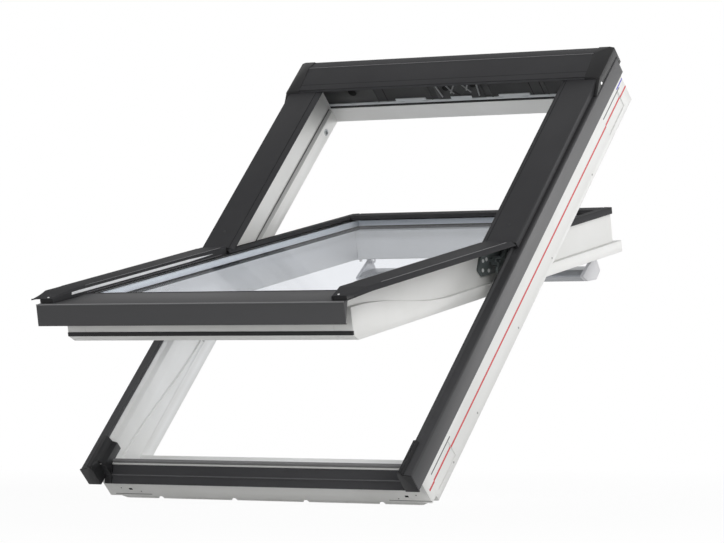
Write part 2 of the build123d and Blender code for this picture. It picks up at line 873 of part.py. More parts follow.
def sash_stile():
    outline = [
        (sash_side, sash_room), (sash_inner, sash_room), (sash_inner, rebate_floor),
        (sash_side + upstand_width, rebate_floor), (sash_side + upstand_width, sash_top),
        (sash_side, sash_top),
    ]
    radii = [0, body_radius, 0, 0, 0, 0]
    stile = prism_y(outline, sash_foot, sash_head, radii)
    foot_top = flange_top + flange_rise
    flange_x = left(flange_side)
    stile += s_plate(sash_foot, flange_head, sash_room, foot_top, flange_top, flange_x, left(sash_side))
    return stile - foot_cuts()


def bolt_hole():
    """Bore of the barrel bolt in the left stile, with the slot for its thumb tab."""
    y = bolt_y()
    bore_radius = bolt_radius + fit_gap
    inner_end = flange_side + bolt_side_gap + bolt_length + fit_gap
    bore = rod_x(bore_radius, left(flange_side) - cut_overrun, left(inner_end), y, bolt_z)
    tab_to = flange_side + bolt_side_gap + bolt_length - bolt_tab_width + fit_gap
    tab_from = tab_to - bolt_tab_width - bolt_travel - fit_gap * 2
    half = bolt_radius / 2 + fit_gap
    slot = block(left(tab_from), left(tab_to), y - half, y + half, bolt_z - bolt_tab_drop - cut_overrun, bolt_z)
    return [bore, slot]


def left_sash_stile():
    return sash_stile() - bolt_hole()


def lock_space():
    """Pocket of the lock bolt in the head of the sash."""
    half = lock_width / 2 + fit_gap
    deep = sash_head - lock_length
    high = lock_low + lock_height + fit_gap
    return block(-half, half, deep, sash_head + cut_overrun, lock_low - fit_gap, high)


def sash_top_rail():
    outline = [
        (sash_head_inner, sash_room), (flange_head, sash_room), (flange_head, flange_top),
        (sash_head, flange_top), (sash_head, sash_top), (sash_head - upstand_width, sash_top),
        (sash_head - upstand_width, rebate_floor), (sash_head_inner, rebate_floor),
    ]
    radii = [body_radius, 0, 0, 0, 0, 0, 0, 0]
    rail = prism_x(outline, left(sash_inner), -left(sash_inner), radii)
    corner_from = left(sash_side)
    end = block(corner_from, left(sash_inner), sash_head, flange_head, sash_room, flange_top)
    return rail + end + on_right(end) - lock_space()


def sash_bottom_rail():
    outline = [
        (sash_foot, sash_room), (sash_foot_inner, sash_room), (sash_foot_inner, rebate_floor),
        (sash_foot + foot_upstand_width, rebate_floor), (sash_foot + foot_upstand_width, sash_top),
        (sash_foot, sash_top),
    ]
    radii = [0, body_radius, 0, 0, 0, 0]
    return prism_x(outline, left(sash_inner), -left(sash_inner), radii) - foot_cuts()


def sash_bottom_seal():
    side = left(flange_side)
    front = sash_foot - bottom_seal_proud
    return block(side, -side, front, sash_foot + seal_slit_depth, seal_slit_low, seal_slit_high)


# Glazing

def pane_at(z_low):
    side = left(pane_inset)
    return block(side, -side, pane_foot, pane_head, z_low, z_low + pane)


def pane_edge_seal():
    return ring(-left(pane_inset), pane_foot, pane_head, edge_seal_width, glass_bottom + pane, glass_top - pane)


def pane_spacer():
    inset = edge_seal_width
    side = -left(pane_inset + inset)
    return ring(side, pane_foot + inset, pane_head - inset, spacer_width, glass_bottom + pane, glass_top - pane)


def glazing_bed_strip():
    return ring(-left(pane_inset), pane_foot, pane_head, glazing_bed_width, rebate_floor, glass_bottom)


def trim_inner():
    return trim_inset + trim_width + trim_bevel_run


def glazing_seal_strip():
    """Seal between the upper trims and the glass: two sides and a head."""
    side = -left(trim_inner())
    head = sash_head - top_trim_width
    low = glass_top
    high = glass_top + glazing_seal
    outer_x = side + glazing_seal_width
    outer = block(-outer_x, outer_x, front_cover_back + fit_gap, head + glazing_seal_width, low, high)
    inner = block(-side, side, front_cover_back - cut_overrun, head, low - cut_overrun, high + cut_overrun)
    return outer - inner


# Cladding of the sash

def front_cover_top():
    """Top face of the front cover from its face edge to the glass: (y, z)."""
    foot = (front_cover_y, -front_cover_top_depth)
    return [foot, (front_cover_y + front_cover_run, front_cover_rise - front_cover_top_depth)]


def sash_front_cover():
    low = -front_cover_top_depth - front_cover_face
    path = [(front_cover_y + front_cover_lip, low), (front_cover_y, low)] + front_cover_top()
    outline = folded(path, sheet)
    side = left(front_cover_inset)
    cover = prism_x(outline, side, -side)
    end_foot = [(front_cover_y, low), (front_cover_y, -front_cover_top_depth)]
    end_back = (front_cover_y + front_cover_end, -front_cover_top_depth)
    end = prism_x(end_foot + [end_back], side, side + sheet)
    return cover + end + on_right(end)


def wing_nose_edge():
    """Straight front edge of a wing: (inset, z) from its outer to its inner side."""
    edge_from = wing_inset + wing_nose_inset
    edge_to = edge_from + wing_nose_width
    edge_z = wing_nose_height - wing_nose_edge_drop
    path = [(edge_from, edge_z), (edge_from + wing_ridge_run, wing_nose_height), (edge_to, wing_nose_height)]
    return path + [(edge_to + wing_bevel_run, edge_z)]


def wing_nose(canopy):
    """Front end of a wing, which flattens and narrows to its straight front edge."""
    wires = []
    for path, y in ((wing_nose_edge(), wing_foot), (canopy, wing_foot + wing_nose_length)):
        wires.append(wire_of([(left(inset), y, z) for inset, z in folded(path, cover_sheet)], 0))
    return Solid.make_loft(wires, True)


def front_cover_z(y):
    """Height just over the top face of the front cover."""
    (foot_y, foot_z), (back_y, back_z) = front_cover_top()
    return foot_z + (back_z - foot_z) * (y - foot_y) / (back_y - foot_y) + fit_gap


def wing_nose_wall(canopy):
    """Inner wall of the nose, down to the front cover."""
    wires = []
    for path, y in ((wing_nose_edge(), wing_foot), (canopy, wing_foot + wing_nose_length)):
        inset, top = path[-1]
        low = front_cover_z(y)
        corners = [(inset - cover_sheet, low), (inset, low), (inset, top), (inset - cover_sheet, top)]
        wires.append(wire_of([(left(place), y, z) for place, z in corners], 0))
    return Solid.make_loft(wires, True)


def wing_apron(inset, top):
    """Inner wall of a wing over the front cover, from the nose to the glass."""
    foot = wing_foot + wing_nose_length
    back = front_cover_back + fit_gap
    outline = [(foot, front_cover_z(foot)), (back, front_cover_z(back)), (back, top), (foot, top)]
    return prism_x(outline, left(inset - cover_sheet), left(inset))


def wing_cover():
    """Side cover of the lower sash: a ridged plate that shelters the stile."""
    ridge = (wing_inset + wing_ridge_run, wing_edge_height + wing_ridge_rise)
    flat_end = (ridge[0] + wing_flat, ridge[1] + wing_flat_rise)
    bevel_end = (flat_end[0] + wing_bevel_run, flat_end[1] - wing_bevel_drop)
    canopy = [(wing_inset, wing_edge_height), ridge, flat_end, bevel_end]
    glass_line = glass_top + glazing_seal
    legs_from = front_cover_back + fit_gap
    wing = wing_nose(canopy) + prism_y(folded(canopy, cover_sheet), wing_foot + wing_nose_length, legs_from)
    wing += wing_nose_wall(canopy)
    wing += wing_apron(*bevel_end)
    wing += prism_y(folded(canopy + [(bevel_end[0], glass_line)], cover_sheet), legs_from, wing_head)
    leg = [(sash_side, sash_top), (sash_side + cover_sheet, sash_top)]
    leg += [(sash_side + cover_sheet, ridge[1]), (sash_side, ridge[1])]
    return wing + prism_y(leg, legs_from, wing_head)


def side_trim():
    high = trim_height
    path = [
        (trim_inset, high - trim_leg), (trim_inset, high), (trim_inset + trim_width, high + trim_slope),
        (trim_inner(), glass_top + glazing_seal + cover_sheet),
    ]
    trim = prism_y(folded(path, cover_sheet), wing_head + fit_gap, sash_head)
    leg = [(sash_side, sash_top), (sash_side + cover_sheet, sash_top)]
    leg += [(sash_side + cover_sheet, high - cover_sheet / 2), (sash_side, high - cover_sheet / 2)]
    return trim + prism_y(leg, wing_head + fit_gap, sash_head)


def sash_top_trim():
    back = sash_head + cover_sheet
    inner = sash_head - top_trim_width
    path = [
        (inner, glass_top + glazing_seal + cover_sheet), (inner + trim_bevel_run, trim_height),
        (back, trim_height), (back, trim_height - trim_leg),
    ]
    side = left(trim_inner()) + fit_gap
    trim = prism_x(folded(path, cover_sheet), side, -side)
    leg_back = sash_head - upstand_width + cover_sheet
    return trim + block(side, -side, leg_back - cover_sheet, leg_back, sash_top, trim_height - cover_sheet)


# Control bar, ventilation flap, lock and barrel bolt

def control_bar():
    """Rounded hollow grip bar along the head of the sash."""
    high = sash_room - bar_drop
    mid_y = sash_head - bar_width / 2
    outline = [
        (mid_y - bar_width / 2, high - bar_depth * bar_nose_share), (mid_y - bar_width / 4, high),
        (mid_y + bar_width / 2 - bar_depth / 4, high),
        (mid_y + bar_width / 2, high - bar_depth * bar_nose_share),
        (mid_y + bar_width / 4, high - bar_depth), (mid_y - bar_width / 4, high - bar_depth * bar_belly_share),
    ]
    side = left(bar_inset + bar_arm_width)
    radius = bar_depth / 8
    skin = wire_of([(side, y, z) for y, z in outline], radius)
    hollow = Face(skin.offset_2d(-bar_wall))
    return Solid.extrude(Face(skin), Vector(-side * 2, 0, 0)) - Solid.extrude(hollow, Vector(-side * 2, 0, 0))


def bar_arm():
    """Moulded end of the control bar that swings on its pin."""
    high = sash_room - bar_drop
    mid_y = sash_head - bar_width / 2
    eye_radius = bar_lug_radius - bar_lug_gap
    nose_z = high - bar_depth * bar_nose_share
    outline = [
        (mid_y - bar_width / 2, nose_z), (mid_y - bar_width / 8, high + bar_lug_radius),
        (bar_axis_y - eye_radius, bar_axis_z), (bar_axis_y + eye_radius, bar_axis_z),
        (mid_y + bar_width / 2, nose_z), (mid_y + bar_width / 4, high - bar_depth),
        (mid_y - bar_width / 4, high - bar_depth * bar_belly_share),
    ]
    radius = bar_depth / 8
    x_from = left(bar_inset)
    x_to = x_from + bar_arm_width
    arm = prism_x(outline, x_from, x_to, [radius, radius, 0, 0, radius, radius, radius])
    arm += rod_x(eye_radius, x_from, x_to, bar_axis_y, bar_axis_z)
    hole_radius = bar_pin_radius + bar_pin_clearance
    return arm - rod_x(hole_radius, x_from - cut_overrun, x_to + cut_overrun, bar_axis_y, bar_axis_z)


def bar_lug():
    """Lug on the sash that holds a pin of the control bar."""
    x_from = left(bar_inset + bar_arm_width) + bar_lug_gap
    x_to = x_from + bar_lug_width
    outline = [
        (bar_axis_y - bar_lug_radius * 2, sash_room), (bar_axis_y + bar_lug_radius * 2, sash_room),
        (bar_axis_y + bar_lug_radius, bar_axis_z - bar_lug_radius),
        (bar_axis_y - bar_lug_radius, bar_axis_z - bar_lug_radius),
    ]
    lug = prism_x(outline, x_from, x_to)
    return lug - rod_x(bar_pin_radius, x_from - cut_overrun, x_to + cut_overrun, bar_axis_y, bar_axis_z)


def bar_pin():
    x_to = left(bar_inset + bar_arm_width) + bar_lug_gap + bar_lug_width
    return rod_x(bar_pin_radius, left(bar_inset), x_to, bar_axis_y, bar_axis_z)


def flap_axis():
    """Hinge line of the ventilation flap: (y, z)."""
    return sash_head + fit_gap + flap_bead_radius, -flap_top_depth - flap_height


def vent_flap():
    axis_y, axis_z = flap_axis()
    side = left(flap_inset)
    back = sash_head + fit_gap
    outline = [
        (back, axis_z), (back + flap_thickness, axis_z), (back + flap_thickness, -flap_top_depth),
        (back, -flap_top_depth),
    ]
    flap = prism_x(outline, side, -side)
    return flap + rod_x(flap_bead_radius, side, -side, axis_y, axis_z)


def lock_bolt():
    half = lock_width / 2
    high = lock_low + lock_height
    tip = sash_head + lock_proud
    outline = [
        (tip - lock_length, lock_low), (tip - lock_height, lock_low), (tip, lock_low + lock_height / 2),
        (tip, high), (tip - lock_length, high),
    ]
    return prism_x(outline, -half, half)


def barrel_bolt():
    y = bolt_y()
    bolt_from = flange_side + bolt_side_gap
    bolt = rod_x(bolt_radius, left(bolt_from), left(bolt_from + bolt_length), y, bolt_z)
    tab_to = bolt_from + bolt_length - bolt_tab_width
    half = bolt_radius / 2
    return bolt + block(left(tab_to - bolt_tab_width), left(tab_to), y - half, y + half,
                        bolt_z - bolt_tab_drop, bolt_z)


def bolt_housing():
    """Plate round the slot of the barrel bolt."""
    y = bolt_y()
    tab_middle = flange_side + bolt_side_gap + bolt_length - bolt_tab_width * 2 + bolt_tab_width / 2
    middle = tab_middle - bolt_travel / 2
    x_from = left(middle - bolt_plate_length / 2)
    half = bolt_plate_width / 2
    corners = [(x_from, y - half), (x_from + bolt_plate_length, y - half)]
    corners += [(x_from + bolt_plate_length, y + half), (x_from, y + half)]
    return prism_z(corners, sash_room - bolt_plate, sash_room) - bolt_hole()


frame_parts = {
    "frame_top_rail": frame_top_rail(),
    "frame_bottom_rail": frame_bottom_rail(),
    "frame_left_stile": left_frame_stile(),
    "frame_right_stile": on_right(frame_stile()),
    "left_stile_seal": left_stile_seal(),
    "right_stile_seal": on_right(stile_seal()),
    "top_rail_seal": top_rail_seal(),
    "sill_seal": sill_seal(),
    "left_side_cladding": side_cladding(),
    "right_side_cladding": on_right(side_cladding()),
    "left_upper_cover": upper_cover(),
    "right_upper_cover": on_right(upper_cover()),
    "cover_plugs": both_sides(cover_plug()),
    "bottom_cover": bottom_cover(),
    "left_corner_cap": corner_cap(),
    "right_corner_cap": on_right(corner_cap()),
    "hood": hood(),
    "left_hood_cap": hood_cap(),
    "right_hood_cap": on_right(hood_cap()),
    "hood_screws": both_sides(hood_screw()),
    "clip_strip": clip_strip(),
    "vent_filter_panel": vent_filter_panel(),
    "striker": striker(),
    "bolt_bush": bolt_bush(),
    "left_hinge_guide": hinge_guide(),
    "right_hinge_guide": on_right(hinge_guide()),
    "hinge_guide_screws": both_sides(hinge_guide_screws()),
}

sash_parts = {
    "sash_top_rail": sash_top_rail(),
    "sash_bottom_rail": sash_bottom_rail(),
    "sash_left_stile": left_sash_stile(),
    "sash_right_stile": on_right(sash_stile()),
    "outer_pane": pane_at(glass_top - pane),
    "inner_pane": pane_at(glass_bottom),
    "pane_edge_seal": pane_edge_seal(),
    "pane_spacer": pane_spacer(),
    "glazing_bed": glazing_bed_strip(),
    "glazing_seal": glazing_seal_strip(),
    "sash_front_cover": sash_front_cover(),
    "left_wing_cover": wing_cover(),
    "right_wing_cover": on_right(wing_cover()),
    "sash_left_trim": side_trim(),
    "sash_right_trim": on_right(side_trim()),
    "sash_top_trim": sash_top_trim(),
    "sash_bottom_seal": sash_bottom_seal(),
    "left_hinge_tongue": hinge_tongue(),
    "right_hinge_tongue": on_right(hinge_tongue()),
    "hinge_tongue_screws": both_sides(hinge_tongue_screws()),
    "bolt_housing": bolt_housing(),
    "bar_lugs": both_sides(bar_lug()),
    "bar_pins": both_sides(bar_pin()),
    "control_bar": control_bar(),
    "left_bar_arm": bar_arm(),
    "right_bar_arm": on_right(bar_arm()),
    "vent_flap": vent_flap(),
    "lock_bolt": lock_bolt(),
    "barrel_bolt": barrel_bolt(),
}

# The reference point is the middle of the white bottom face, where the frame stands on its batten.
foot_face_middle = (foot_face_top + room_face + lip_depth) / 2
install = Rot(X=roof_pitch) * Pos(0, -frame_foot, -foot_face_middle)
swing = Pos(0, pivot_y, pivot_z) * Rot(X=-sash_opening) * Pos(0, -pivot_y, -pivot_z)

os.makedirs("parts", exist_ok=True)
for name, shape in frame_parts.items():
    export_step(install * shape, f"parts/{name}.step")
for name, shape in sash_parts.items():
    export_step(install * swing * shape, f"parts/{name}.step")
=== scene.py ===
import bmesh
import bpy
import json
from math import cos, radians, sin, tau
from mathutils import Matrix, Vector


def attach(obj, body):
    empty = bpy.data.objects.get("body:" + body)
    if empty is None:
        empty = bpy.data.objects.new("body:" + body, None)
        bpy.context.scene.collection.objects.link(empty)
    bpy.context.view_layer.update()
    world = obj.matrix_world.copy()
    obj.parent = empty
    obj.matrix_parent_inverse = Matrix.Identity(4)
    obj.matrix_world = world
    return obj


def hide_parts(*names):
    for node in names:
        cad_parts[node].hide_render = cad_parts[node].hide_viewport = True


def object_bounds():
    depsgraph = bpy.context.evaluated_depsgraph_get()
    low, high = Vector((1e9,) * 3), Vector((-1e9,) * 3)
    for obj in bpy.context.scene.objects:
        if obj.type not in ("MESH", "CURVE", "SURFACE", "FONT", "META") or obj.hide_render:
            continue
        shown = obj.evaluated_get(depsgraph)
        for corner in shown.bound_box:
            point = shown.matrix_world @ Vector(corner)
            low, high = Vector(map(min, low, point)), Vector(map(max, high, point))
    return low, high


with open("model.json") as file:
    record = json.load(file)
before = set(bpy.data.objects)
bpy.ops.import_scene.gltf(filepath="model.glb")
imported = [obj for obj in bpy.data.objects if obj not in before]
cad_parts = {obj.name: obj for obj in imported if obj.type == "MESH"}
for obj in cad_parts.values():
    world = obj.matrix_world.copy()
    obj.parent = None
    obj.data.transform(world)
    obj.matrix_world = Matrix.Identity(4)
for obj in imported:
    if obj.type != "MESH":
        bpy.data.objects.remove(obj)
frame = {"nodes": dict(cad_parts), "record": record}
cad_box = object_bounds()

# White frame members
# The four members are polyurethane moulded over a timber core, with a satin white skin.
# They are screwed together at the corners, and their long edges come out of the mould slightly rounded.
member_edge = 0.0009
white = (0.80, 0.80, 0.785)
white_shade = (0.765, 0.765, 0.745)
skin_tone_scale = 9.0
skin_grain_scale = 1400.0
skin_grain_height = 0.00004
weld_gap = 0.000001


def plain_finish(name, color, roughness, specular=0.5, metallic=0.0):
    """Surface with one colour and gloss; its sockets are set directly."""
    finish = bpy.data.materials.new(name)
    finish.use_nodes = True
    shader = finish.node_tree.nodes["Principled BSDF"]
    shader.inputs["Base Color"].default_value = (*color, 1.0)
    shader.inputs["Roughness"].default_value = roughness
    shader.inputs["Specular IOR Level"].default_value = specular
    shader.inputs["Metallic"].default_value = metallic
    return finish


def noise_of(finish, scale, stretch=(1.0, 1.0, 1.0), detail=3.0):
    """Noise that is fixed to the piece; stretch sets its scale along each axis."""
    nodes, links = finish.node_tree.nodes, finish.node_tree.links
    place = nodes.new("ShaderNodeTexCoord")
    mapping = nodes.new("ShaderNodeMapping")
    mapping.inputs["Scale"].default_value = stretch
    noise = nodes.new("ShaderNodeTexNoise")
    noise.inputs["Scale"].default_value = scale
    noise.inputs["Detail"].default_value = detail
    links.new(place.outputs["Object"], mapping.inputs["Vector"])
    links.new(mapping.outputs["Vector"], noise.inputs["Vector"])
    return noise.outputs["Fac"]


def add_grain(finish, scale, height, stretch=(1.0, 1.0, 1.0)):
    """Fine relief of the surface, as moulding, spraying or drawing leaves it."""
    nodes, links = finish.node_tree.nodes, finish.node_tree.links
    bump = nodes.new("ShaderNodeBump")
    bump.inputs["Distance"].default_value = height
    links.new(noise_of(finish, scale, stretch), bump.inputs["Height"])
    links.new(bump.outputs["Normal"], nodes["Principled BSDF"].inputs["Normal"])


def add_tone(finish, dark, light, scale, low=0.35, high=0.65):
    """Slow change of tone between two colours over the piece."""
    nodes, links = finish.node_tree.nodes, finish.node_tree.links
    ramp = nodes.new("ShaderNodeValToRGB")
    ramp.color_ramp.elements[0].position = low
    ramp.color_ramp.elements[0].color = (*dark, 1.0)
    ramp.color_ramp.elements[1].position = high
    ramp.color_ramp.elements[1].color = (*light, 1.0)
    links.new(noise_of(finish, scale), ramp.inputs["Fac"])
    links.new(ramp.outputs["Color"], nodes["Principled BSDF"].inputs["Base Color"])


def body_of(node):
    """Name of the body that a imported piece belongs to."""
    bodies = frame["record"]["behaviour"]["bodies"]
    return next(body for body, members in bodies.items() if node in members)


def link_piece(name, mesh, finish, body):
    """Put a mesh into the scene with its finish, riding on a body."""
    piece = bpy.data.objects.new(name, mesh)
    bpy.context.scene.collection.objects.link(piece)
    mesh.materials.clear()
    mesh.materials.append(finish)
    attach(piece, body)
    return piece


def eased(node, edge, finish, segments=2, flat_angle=0.4, sharp_angle=28.0):
    """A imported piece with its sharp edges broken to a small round, as a tool or a mould leaves them."""
    shape = bmesh.new()
    shape.from_mesh(frame["nodes"][node].data)
    bmesh.ops.remove_doubles(shape, verts=shape.verts, dist=weld_gap)
    bmesh.ops.dissolve_limit(
        shape, angle_limit=radians(flat_angle), verts=shape.verts, edges=shape.edges, delimit={"NORMAL"}
    )
    mesh = bpy.data.meshes.new(node + "_eased")
    shape.to_mesh(mesh)
    shape.free()
    mesh.shade_smooth()
    piece = link_piece(node + "_eased", mesh, finish, body_of(node))
    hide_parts(node)
    bevel = piece.modifiers.new("edge", "BEVEL")
    bevel.width = edge
    bevel.segments = segments
    bevel.limit_method = "ANGLE"
    bevel.angle_limit = radians(sharp_angle)
    bevel.harden_normals = True


white_skin = plain_finish("white_moulded_skin", white, roughness=0.42, specular=0.4)
add_tone(white_skin, white_shade, white, skin_tone_scale)
add_grain(white_skin, skin_grain_scale, skin_grain_height)
for member in ("frame_top_rail", "frame_bottom_rail", "frame_left_stile", "frame_right_stile"):
    eased(member, member_edge, white_skin)

# Setting-out lines on the frame sides
# Thin printed lines: a red one along the whole stile, for the depth of the frame in the roof, and a short
# blue one at the head. A short dark grey line at the top edge of each bracket seat is painted shadow of that
# edge.
# The mould's pins leave faint round marks, drawn as grey discs of painted shade.
roof_slope = radians(46.0)
slope_up = Vector((0.0, cos(roof_slope), sin(roof_slope)))
slope_out = Vector((0.0, -sin(roof_slope), cos(roof_slope)))
foot_y = 0.024
foot_z = -0.081
both_sides = ((-1.0, "left"), (1.0, "right"))
side_face = 0.381
seat_face = 0.3795
low_seat = (0.059, 0.149)
high_seat = (1.059, 1.149)
ink = 0.00012
red_line_ends = (0.034, 1.184)
red_line_z = (-0.0826, -0.078)
blue_line_y = (1.148, 1.183)
blue_line_z = (-0.0600, -0.0568)
seat_shadow_lines_y = ((0.06, 0.16), (1.06, 1.16))
seat_shadow_line_z = (-0.0642, -0.0614)
side_pins_y = (0.134, 0.265, 0.498, 0.696, 0.942)
side_pin_z = -0.1088
side_pin_radius = 0.0024
round_angle = radians(35.0)


def on_frame(x, y, z):
    """World place of a frame point: across, up the slope and out of the roof, in metres."""
    return Vector((x, 0.0, 0.0)) + slope_up * (y - foot_y) + slope_out * (z - foot_z)


def hull_mesh(name, points):
    """Closed mesh round a set of world points, with its round stretches shaded smooth."""
    shape = bmesh.new()
    for point in points:
        shape.verts.new(point)
    bmesh.ops.convex_hull(shape, input=shape.verts[:])
    bmesh.ops.recalc_face_normals(shape, faces=shape.faces)
    mesh = bpy.data.meshes.new(name)
    shape.to_mesh(mesh)
    shape.free()
    mesh.shade_smooth()
    mesh.set_sharp_from_angle(angle=round_angle)
    return mesh


def hull_piece(name, points, finish, carrier):
    """Small piece with flat or round sides, fixed to the piece that carries it."""
    link_piece(name, hull_mesh(name, points), finish, body_of(carrier))


def laid_block(name, place, x_span, y_span, z_span, finish, carrier):
    """Flat-sided piece between two corners, fixed to the piece that carries it."""
    hull_piece(name, [place(x, y, z) for x in x_span for y in y_span for z in z_span], finish, carrier)


def round_bar(name, start, end, radius, finish, carrier, sides=12):
    """Round bar or disc between two world points, fixed to the piece that carries it."""
    along = (end - start).normalized()
    across = along.orthogonal().normalized()
    other = along.cross(across)
    points = []
    for step in range(sides):
        turn = tau * step / sides
        rim = across * (radius * cos(turn)) + other * (radius * sin(turn))
        points += [start + rim, end + rim]
    hull_piece(name, points, finish, carrier)


red_ink = plain_finish("red_ink", (0.62, 0.05, 0.06), roughness=0.5, specular=0.3)
blue_ink = plain_finish("blue_ink", (0.05, 0.05, 0.6), roughness=0.5, specular=0.3)
# The dark grey line at each seat edge is painted shadow; the grey pin discs are painted shade.
seat_edge_painted_shadow = plain_finish("seat_edge_painted_shadow", (0.1, 0.1, 0.1), roughness=0.5, specular=0.3)
pin_mark_painted_shade = plain_finish("pin_shadow", (0.4, 0.4, 0.39), roughness=0.7, specular=0.2)
red_runs = (
    (side_face, (red_line_ends[0], low_seat[0])),
    (seat_face, low_seat),
    (side_face, (low_seat[1], high_seat[0])),
    (seat_face, high_seat),
    (side_face, (high_seat[1], red_line_ends[1])),
)
for side, hand in both_sides:
    stile = f"frame_{hand}_stile"
    for number, (face, run) in enumerate(red_runs):
        faces = (side * face, side * (face + ink))
        laid_block(f"{hand}_red_line_{number}", on_frame, faces, run, red_line_z, red_ink, stile)
    faces = (side * side_face, side * (side_face + ink))
    laid_block(f"{hand}_blue_line", on_frame, faces, blue_line_y, blue_line_z, blue_ink, stile)
    for number, run in enumerate(seat_shadow_lines_y):
        laid_block(f"{hand}_seat_shadow_line_{number}", on_frame, faces, run, seat_shadow_line_z, seat_edge_painted_shadow, stile)
    for number, y in enumerate(side_pins_y):
        start, end = [on_frame(x, y, side_pin_z) for x in faces]
        round_bar(f"{hand}_side_pin_{number}", start, end, side_pin_radius, pin_mark_painted_shade, stile)

# Slots in the foot face
# Drain slots and pin marks that the mould leaves near both ends of the bottom face, with a slit above
# the lip. They show as small dark spots on the white skin: painted shade in these hollows.
foot_faces = (foot_y - ink, foot_y)
foot_slots = ((-0.321, -0.0846), (0.331, -0.0868))
slot_half_width = 0.004
slot_half_height = 0.0025
foot_pins = ((-0.343, -0.082), (-0.298, -0.091), (0.3536, -0.083), (0.3096, -0.094))
foot_pin_radius = 0.0015
foot_slits = ((-0.365, -0.2755), (0.286, 0.3825))
slit_z = (-0.1, -0.0985)
# Near black is painted shade in the slots and in dark discs, and also colours the panel's seams and round
# marks; the grey is painted shade in the slits and pin marks.
hole_shade_and_seam_black = plain_finish("slot_shadow", (0.012, 0.012, 0.012), roughness=0.8, specular=0.1)
slit_and_pin_painted_shade = plain_finish("slit_shadow", (0.12, 0.12, 0.118), roughness=0.8, specular=0.1)


def face_disc(name, x, face, z, radius, finish, carrier, sides=12):
    """Thin round mark on a face that looks down the slope."""
    start, end = on_frame(x, face, z), on_frame(x, face - ink, z)
    round_bar(name, start, end, radius, finish, carrier, sides)


for number, (x, z) in enumerate(foot_slots):
    width = (x - slot_half_width, x + slot_half_width)
    height = (z - slot_half_height, z + slot_half_height)
    laid_block(f"foot_slot_{number}", on_frame, width, foot_faces, height, hole_shade_and_seam_black, "frame_bottom_rail")
for number, (x, z) in enumerate(foot_pins):
    face_disc(f"foot_pin_{number}", x, foot_y, z, foot_pin_radius, slit_and_pin_painted_shade, "frame_bottom_rail")
for number, slit in enumerate(foot_slits):
    laid_block(f"foot_slit_{number}", on_frame, slit, foot_faces, slit_z, slit_and_pin_painted_shade, "frame_bottom_rail")

# Seals of the frame
# Extruded rubber strips, pressed into the frame where the shut sash meets it: black at the head, grey on
# the sill and pale along the stiles, where only their lip line shows dark.
seal_edge = 0.0003
sill_seal_edge = 0.0012
rubber_grain_scale = 900.0
rubber_grain_height = 0.00005
drawn_lines = (0.15, 1.0, 1.0)
seal_lip_x = 0.3482
seal_lip_y = (0.44, 1.151)
seal_lip_z = -0.0804
seal_lip_radius = 0.0011


def bar_along(name, place, x, y_ends, z, radius, finish, carrier):
    """Round bar that runs up the slope."""
    start, end = [place(x, y, z) for y in y_ends]
    round_bar(name, start, end, radius, finish, carrier)


rubber = plain_finish("black_rubber", (0.014, 0.014, 0.015), roughness=0.62, specular=0.3)
pale_rubber = plain_finish("pale_rubber", (0.56, 0.56, 0.55), roughness=0.6, specular=0.3)
sill_rubber = plain_finish("sill_rubber", (0.19, 0.19, 0.19), roughness=0.6, specular=0.3)
grey_rubber = plain_finish("grey_rubber", (0.1, 0.1, 0.1), roughness=0.6, specular=0.3)
for finish in (rubber, pale_rubber, sill_rubber):
    add_grain(finish, rubber_grain_scale, rubber_grain_height, drawn_lines)
eased("top_rail_seal", seal_edge, rubber)
eased("sill_seal", sill_seal_edge, sill_rubber)
for side, hand in both_sides:
    strip = f"{hand}_stile_seal"
    eased(strip, seal_edge, pale_rubber)
    lip_x = side * seal_lip_x
    bar_along(strip + "_lip", on_frame, lip_x, seal_lip_y, seal_lip_z, seal_lip_radius, grey_rubber, strip)

# Cladding of the frame
# Aluminium sheet, folded and coated in satin anthracite, clipped over the outside of the frame. The folds
# catch the light; each upper cover has a pressed crease, lined with a dark bar of painted shade, and the
# bottom cover a soft ridge, lined with a paler bar of painted highlight.
anthracite = (0.062, 0.062, 0.065)
anthracite_dark = (0.055, 0.055, 0.058)
fold_edge = 0.0006
coat_tone_scale = 7.0
coat_grain_scale = 2200.0
coat_grain_height = 0.00003
ridge_half = 0.344
ridge_y = 0.0222
ridge_z = -0.0407
ridge_radius = 0.0012
crease_x = 0.312
crease_y = (0.613, 1.1)
crease_z = 0.0179
crease_radius = 0.0006


def bar_across(name, place, half, y, z, radius, finish, carrier):
    """Round bar that runs across the window, from one side to the other."""
    round_bar(name, place(-half, y, z), place(half, y, z), radius, finish, carrier)


coat = plain_finish("anthracite_coat", anthracite, roughness=0.5, specular=0.06)
add_tone(coat, anthracite_dark, anthracite, coat_tone_scale)
side_coat = plain_finish("side_coat", anthracite, roughness=0.42, specular=0.19)
for finish in (coat, side_coat):
    add_grain(finish, coat_grain_scale, coat_grain_height)
# Dark bars in the creases are painted shade; pale bars on the folds and the ridge are painted highlights.
crease = plain_finish("crease_shadow", (0.02, 0.02, 0.021), roughness=0.6, specular=0.1)
fold_painted_highlight = plain_finish("fold_painted_highlight", (0.24, 0.24, 0.245), roughness=0.4, specular=0.2)
ridge_painted_highlight = plain_finish("ridge_painted_highlight", (0.115, 0.115, 0.118), roughness=0.45, specular=0.1)
for sheet in ("left_upper_cover", "right_upper_cover", "bottom_cover"):
    eased(sheet, fold_edge, coat)
for sheet in ("left_side_cladding", "right_side_cladding"):
    eased(sheet, fold_edge, side_coat)
bar_across(
    "bottom_cover_ridge_highlight", on_frame, ridge_half, ridge_y, ridge_z, ridge_radius, ridge_painted_highlight, "bottom_cover"
)
for side, hand in both_sides:
    cover = f"{hand}_upper_cover"
    bar_along(cover + "_crease", on_frame, side * crease_x, crease_y, crease_z, crease_radius, crease, cover)

